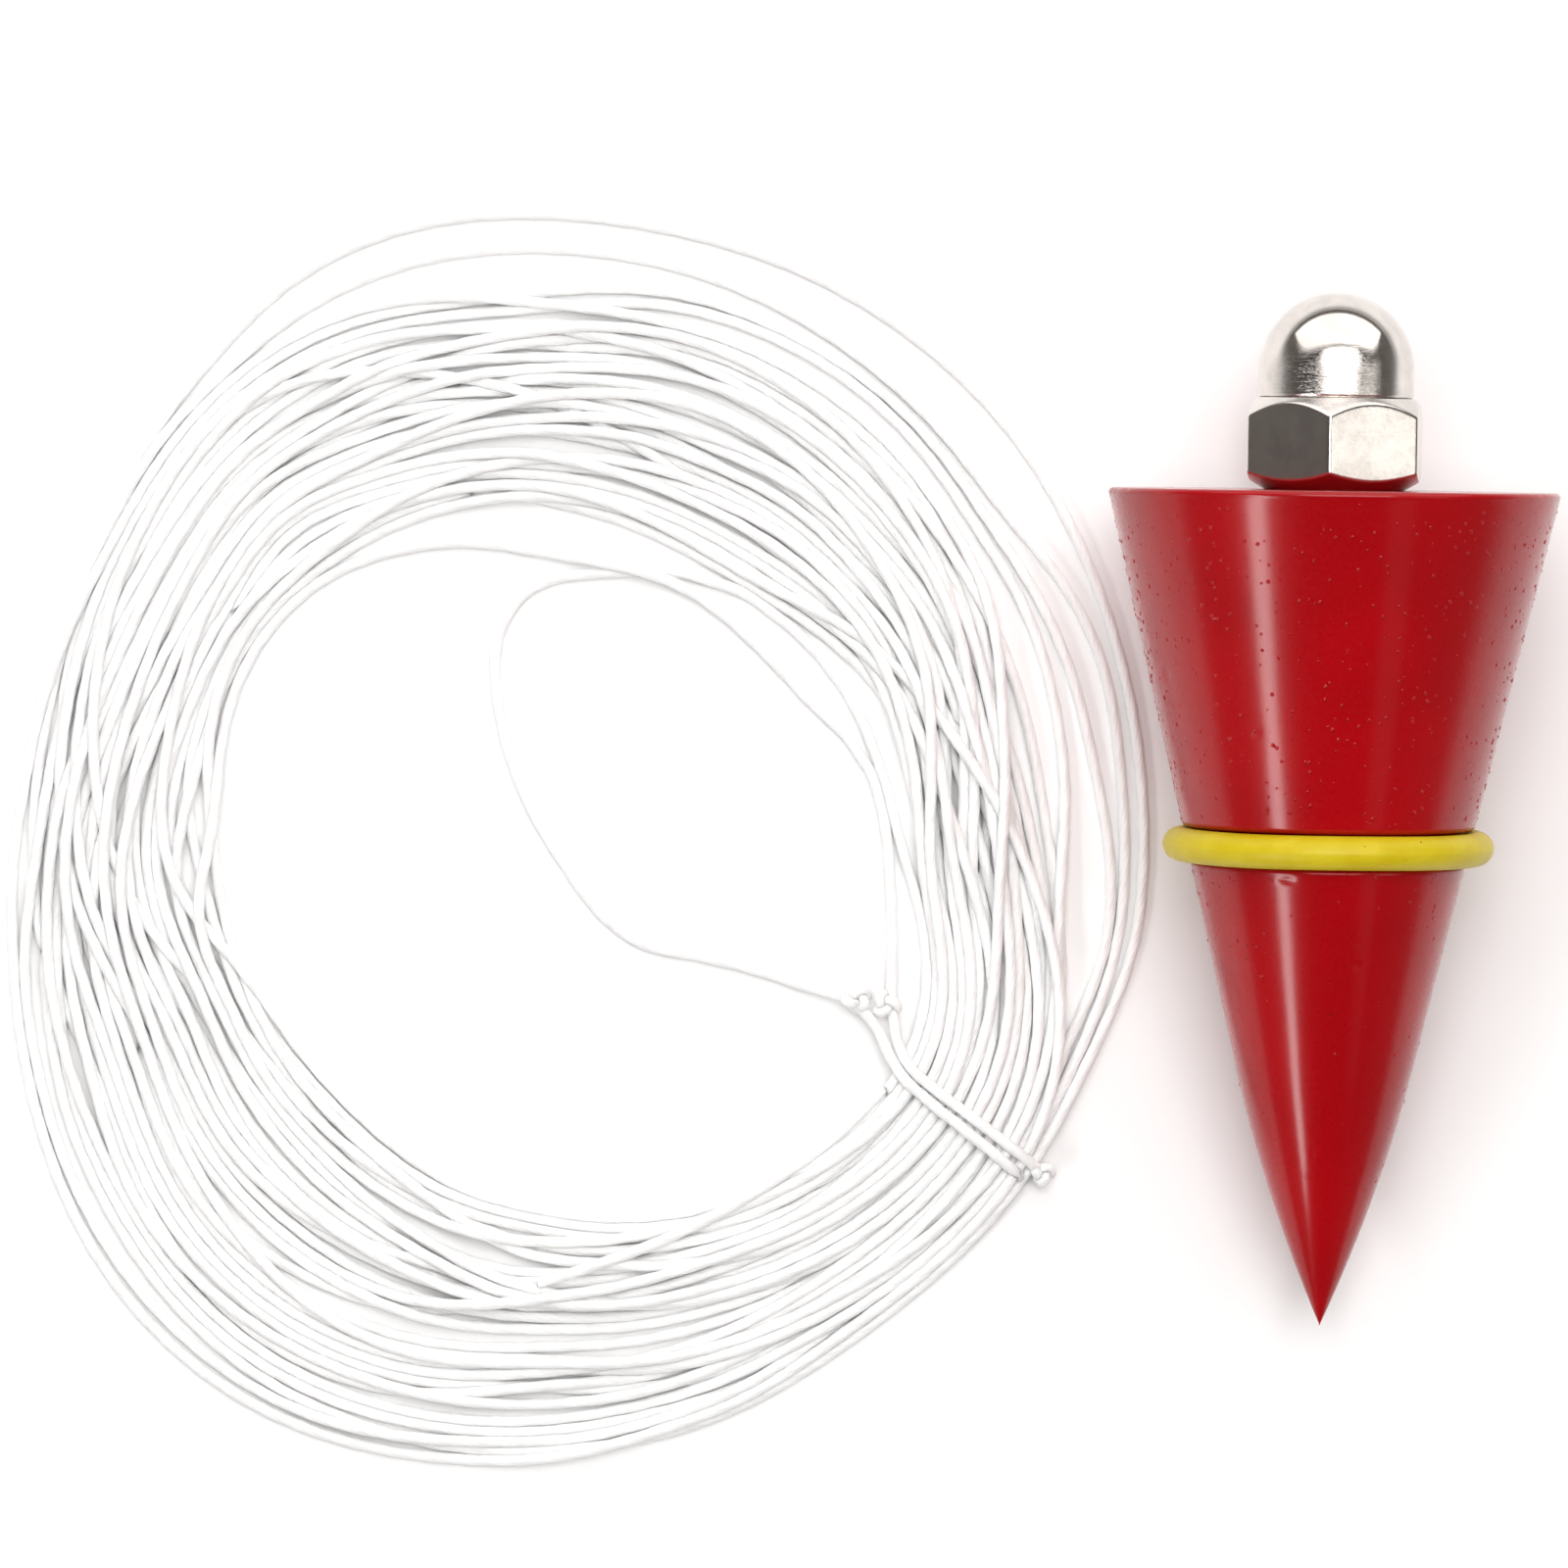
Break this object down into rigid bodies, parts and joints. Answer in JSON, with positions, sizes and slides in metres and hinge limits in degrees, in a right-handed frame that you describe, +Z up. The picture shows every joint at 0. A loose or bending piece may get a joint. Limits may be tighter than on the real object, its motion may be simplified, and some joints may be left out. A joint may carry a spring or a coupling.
{
  "type": "plumb bob",
  "caption": "Turned steel plumb bob with a cap nut, a rubber ring in a groove, and a tied coil of nylon line beside it.",
  "frame": {"origin": "on the surface that the bob lies on, under the middle of the bob's own box", "axes": "+Z up from the surface; +Y along the bob from its point towards its cap nut; +X to the side away from the coil of line. The bob's axis leans 9.8 degrees up from +Y, because it rests on its rim and its ring."},
  "size_m": [0.1557, 0.1234, 0.0447],
  "materials": {
    "red_paint": "gloss",
    "yellow_rubber": "satin",
    "stud_steel": "satin",
    "nickel_plate": "polished",
    "nylon_line": "satin"
  },
  "bodies": {
    "bob": {"bob_body": "red_paint", "o_ring": "yellow_rubber"},
    "stud": {"stud": "stud_steel"},
    "cap_nut": {"nut_hex": "nickel_plate", "nut_dome": "nickel_plate"},
    "line": {"line_coil": "nylon_line", "line_loop": "nylon_line", "line_strand": "nylon_line", "line_knots": "nylon_line", "line_tie": "nylon_line", "line_tail": "nylon_line"}
  },
  "joints": [
    {"name": "cap_nut_turn", "type": "hinge", "parent": "bob", "child": "stud", "pos_m": [0, 0.03157, 0.02246], "axis": [0, 0.9854, 0.1703], "range_deg": [0, 2880]},
    {"name": "cap_nut_rise", "type": "slide", "parent": "stud", "child": "cap_nut", "axis": [0, 0.9854, 0.1703], "range_m": [0, 0.012]},
    {"name": "line_lift", "type": "slide", "parent": "bob", "child": "line", "axis": [0, 0, 1], "range_m": [0, 0.1]}
  ],
  "couplings": [
    {"joint": "cap_nut_rise", "follows": "cap_nut_turn", "m_per_rad": 0.00023873}
  ]
}
